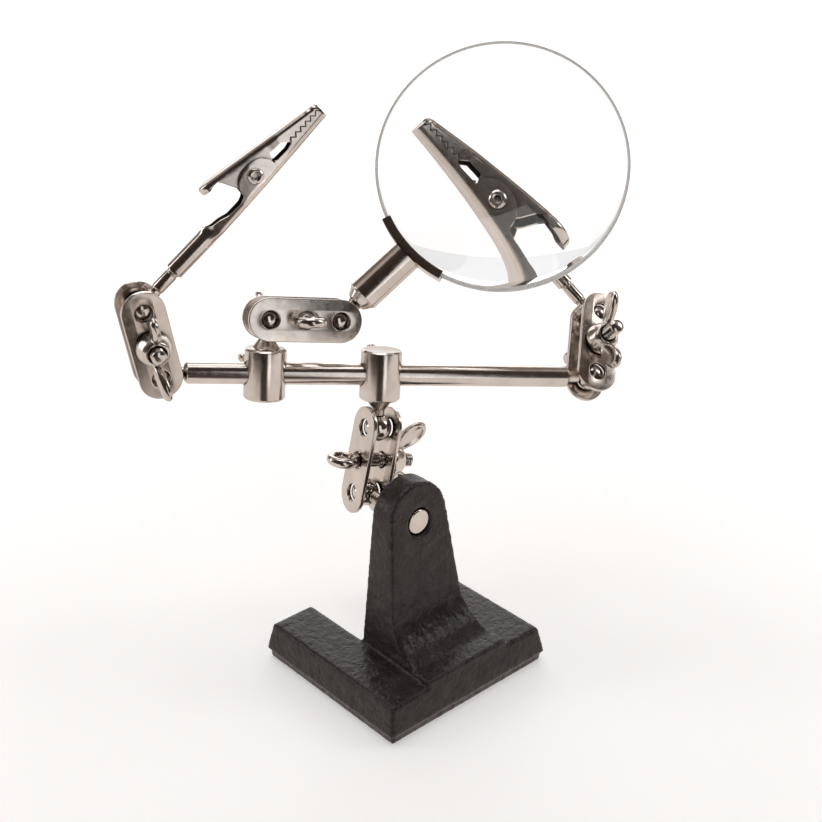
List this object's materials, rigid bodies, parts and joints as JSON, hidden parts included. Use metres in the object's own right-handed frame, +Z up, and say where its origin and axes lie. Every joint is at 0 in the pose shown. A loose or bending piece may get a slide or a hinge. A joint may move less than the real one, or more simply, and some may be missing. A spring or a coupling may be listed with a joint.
{
  "type": "helping hands magnifier",
  "caption": "Bench stand with a cast base, ball-jointed clamps and a sliding crossbar that holds a round magnifying lens and a spring clip at each end.",
  "frame": {"origin": "centre of the base outline on its underside, where the stand rests", "axes": "+Z up, the base's broad front faces -Y and its open slot faces +Y, the crossbar's left end is towards -X"},
  "size_m": [0.1269, 0.0853, 0.1563],
  "materials": {
    "cast_base": "black semi-gloss paint over a rough casting",
    "bright_rod": "bright nickel plate over turned steel",
    "ball": "bright nickel plate",
    "clamp_plate": "bright nickel plate over stamped steel",
    "wing_nut": "nickel plate over a cast wing nut",
    "bolt": "nickel plate over steel",
    "clip_sheet": "nickel plate over pressed sheet steel",
    "spring_wire": "plain spring wire",
    "rivet": "nickel plated hollow rivet",
    "lens_glass": "clear polished glass with a ground edge"
  },
  "bodies": {
    "base": {"base_casting": "cast_base", "base_stud": "bright_rod"},
    "base_ball": {"base_stud_ball": "ball"},
    "lower_clamp": {"lower_clamp_plate_eye_side": "clamp_plate", "lower_clamp_plate_nut_side": "clamp_plate", "lower_clamp_eye_bolt": "bolt"},
    "lower_wing_nut": {"lower_clamp_wing_nut": "wing_nut"},
    "center_ball": {"center_collar_ball": "ball"},
    "center_collar": {"center_collar": "bright_rod"},
    "center_screw": {"center_collar_screw": "bolt", "center_collar_tommy_bar": "bolt"},
    "crossbar": {"crossbar": "bright_rod"},
    "magnifier_collar": {"magnifier_collar": "bright_rod"},
    "magnifier_screw": {"magnifier_collar_screw": "bolt", "magnifier_collar_tommy_bar": "bolt"},
    "magnifier_ball": {"magnifier_collar_ball": "ball"},
    "magnifier_clamp": {"magnifier_clamp_plate_eye_side": "clamp_plate", "magnifier_clamp_plate_nut_side": "clamp_plate", "magnifier_clamp_eye_bolt": "bolt"},
    "magnifier_wing_nut": {"magnifier_clamp_wing_nut": "wing_nut"},
    "handle_ball": {"magnifier_handle_ball": "ball"},
    "magnifier": {"magnifier_handle": "bright_rod", "lens_cradle": "bright_rod", "lens": "lens_glass"},
    "left_bar_ball": {"bar_left_ball": "ball"},
    "left_clamp": {"left_clamp_plate_eye_side": "clamp_plate", "left_clamp_plate_nut_side": "clamp_plate", "left_clamp_eye_bolt": "bolt"},
    "left_wing_nut": {"left_clamp_wing_nut": "wing_nut"},
    "left_clip_ball": {"left_clip_ball": "ball"},
    "left_clip": {"left_clip_stem": "bright_rod", "left_clip_lower_jaw": "clip_sheet", "left_clip_rivet": "rivet", "left_clip_spring": "spring_wire"},
    "left_jaw": {"left_clip_upper_jaw": "clip_sheet"},
    "right_bar_ball": {"bar_right_ball": "ball"},
    "right_clamp": {"right_clamp_plate_eye_side": "clamp_plate", "right_clamp_plate_nut_side": "clamp_plate", "right_clamp_eye_bolt": "bolt"},
    "right_wing_nut": {"right_clamp_wing_nut": "wing_nut"},
    "right_clip_ball": {"right_clip_ball": "ball"},
    "right_clip": {"right_clip_stem": "bright_rod", "right_clip_lower_jaw": "clip_sheet", "right_clip_rivet": "rivet", "right_clip_spring": "spring_wire"},
    "right_jaw": {"right_clip_upper_jaw": "clip_sheet"}
  },
  "joints": [
    {"name": "base_ball_spin", "type": "hinge", "parent": "base", "child": "base_ball", "pos_m": [0, 0.0161, 0.0453], "axis": [0, -1, 0], "range_deg": [-75, 100]},
    {"name": "lower_clamp_swing", "type": "hinge", "parent": "base_ball", "child": "lower_clamp", "pos_m": [0, 0.0161, 0.0453], "axis": [-0.9448, 0.2251, 0.2382], "range_deg": [-4, 90]},
    {"name": "lower_nut_turn", "type": "hinge", "parent": "lower_clamp", "child": "lower_wing_nut", "pos_m": [0.00658, 0.01495, 0.05318], "axis": [0.9448, -0.2251, -0.2382], "range_deg": [-30, 360]},
    {"name": "center_ball_swing", "type": "hinge", "parent": "lower_clamp", "child": "center_ball", "pos_m": [0.00447, 0.01587, 0.06325], "axis": [0.9448, -0.2251, -0.2382], "range_deg": [-85, 90]},
    {"name": "center_collar_spin", "type": "hinge", "parent": "center_ball", "child": "center_collar", "pos_m": [0.00447, 0.01587, 0.06325], "axis": [0.1911, 0.1264, 0.9734], "continuous": true},
    {"name": "center_screw_turn", "type": "hinge", "parent": "center_collar", "child": "center_screw", "pos_m": [0.0072, 0.01767, 0.07717], "axis": [0.4708, 0.8583, -0.2039], "range_deg": [-20, 360]},
    {"name": "crossbar_roll", "type": "hinge", "parent": "center_collar", "child": "crossbar", "pos_m": [0.0072, 0.01767, 0.07717], "axis": [0.8613, -0.4973, -0.1045], "range_deg": [-100, 100]},
    {"name": "magnifier_collar_slide", "type": "slide", "parent": "crossbar", "child": "magnifier_collar", "axis": [0.8613, -0.4973, -0.1045], "range_m": [-0.0145, 0.0185]},
    {"name": "magnifier_screw_turn", "type": "hinge", "parent": "magnifier_collar", "child": "magnifier_screw", "pos_m": [-0.01898, 0.03279, 0.08035], "axis": [0.4737, 0.8602, -0.189], "range_deg": [-20, 360]},
    {"name": "magnifier_ball_spin", "type": "hinge", "parent": "magnifier_collar", "child": "magnifier_ball", "pos_m": [-0.01635, 0.03441, 0.09431], "axis": [0.1839, 0.1133, 0.9764], "range_deg": [-120, 8]},
    {"name": "magnifier_clamp_swing", "type": "hinge", "parent": "magnifier_ball", "child": "magnifier_clamp", "pos_m": [-0.01635, 0.03441, 0.09431], "axis": [-0.3593, -0.8916, 0.2755], "range_deg": [-4, 34]},
    {"name": "magnifier_nut_turn", "type": "hinge", "parent": "magnifier_clamp", "child": "magnifier_wing_nut", "pos_m": [-0.00637, 0.03473, 0.09168], "axis": [0.3593, 0.8916, -0.2755], "range_deg": [-30, 360]},
    {"name": "handle_ball_swing", "type": "hinge", "parent": "magnifier_clamp", "child": "handle_ball", "pos_m": [0.00031, 0.02685, 0.09158], "axis": [0.3593, 0.8916, -0.2755], "range_deg": [-34, 20]},
    {"name": "magnifier_spin", "type": "hinge", "parent": "handle_ball", "child": "magnifier", "pos_m": [0.00031, 0.02685, 0.09158], "axis": [0.7429, -0.266, 0.6143], "range_deg": [-34, 44]},
    {"name": "left_bar_ball_spin", "type": "hinge", "parent": "crossbar", "child": "left_bar_ball", "pos_m": [-0.04241, 0.04631, 0.08319], "axis": [0.8613, -0.4973, -0.1045], "continuous": true},
    {"name": "left_clamp_swing", "type": "hinge", "parent": "left_bar_ball", "child": "left_clamp", "pos_m": [-0.04241, 0.04631, 0.08319], "axis": [0.322, 0.9457, 0.0432], "range_deg": [-90, 15]},
    {"name": "left_nut_turn", "type": "hinge", "parent": "left_clamp", "child": "left_wing_nut", "pos_m": [-0.04546, 0.04208, 0.09211], "axis": [-0.322, -0.9457, -0.0432], "range_deg": [-30, 360]},
    {"name": "left_clip_swing", "type": "hinge", "parent": "left_clamp", "child": "left_clip_ball", "pos_m": [-0.04555, 0.04655, 0.10142], "axis": [-0.322, -0.9457, -0.0432], "range_deg": [-28, 120]},
    {"name": "left_clip_spin", "type": "hinge", "parent": "left_clip_ball", "child": "left_clip", "pos_m": [-0.04555, 0.04655, 0.10142], "axis": [0.7051, -0.2525, 0.6626], "continuous": true},
    {"name": "left_jaw_open", "type": "hinge", "parent": "left_clip", "child": "left_jaw", "pos_m": [-0.01655, 0.03668, 0.13139], "axis": [-0.4656, -0.8697, 0.1641], "range_deg": [0, 26], "stiffness_Nm_per_rad": 0.12, "springref_deg": -28.65},
    {"name": "right_bar_ball_spin", "type": "hinge", "parent": "crossbar", "child": "right_bar_ball", "pos_m": [0.0575, -0.01137, 0.07107], "axis": [-0.8613, 0.4973, 0.1045], "range_deg": [-8, 100]},
    {"name": "right_clamp_swing", "type": "hinge", "parent": "right_bar_ball", "child": "right_clamp", "pos_m": [0.0575, -0.01137, 0.07107], "axis": [-0.1631, -0.7029, 0.6923], "range_deg": [-90, 24]},
    {"name": "right_nut_turn", "type": "hinge", "parent": "right_clamp", "child": "right_wing_nut", "pos_m": [0.06228, -0.01009, 0.08013], "axis": [-0.1631, -0.7029, 0.6923], "range_deg": [-30, 360]},
    {"name": "right_clip_swing", "type": "hinge", "parent": "right_clamp", "child": "right_clip_ball", "pos_m": [0.06856, -0.00235, 0.08283], "axis": [0.1631, 0.7029, -0.6923], "range_deg": [-34, 110]},
    {"name": "right_clip_spin", "type": "hinge", "parent": "right_clip_ball", "child": "right_clip", "pos_m": [0.06856, -0.00235, 0.08283], "axis": [-0.2627, 0.6989, 0.6652], "continuous": true},
    {"name": "right_jaw_open", "type": "hinge", "parent": "right_clip", "child": "right_jaw", "pos_m": [0.05892, 0.02689, 0.11265], "axis": [0.6314, 0.6459, -0.4292], "range_deg": [0, 26], "stiffness_Nm_per_rad": 0.12, "springref_deg": -28.65}
  ]
}
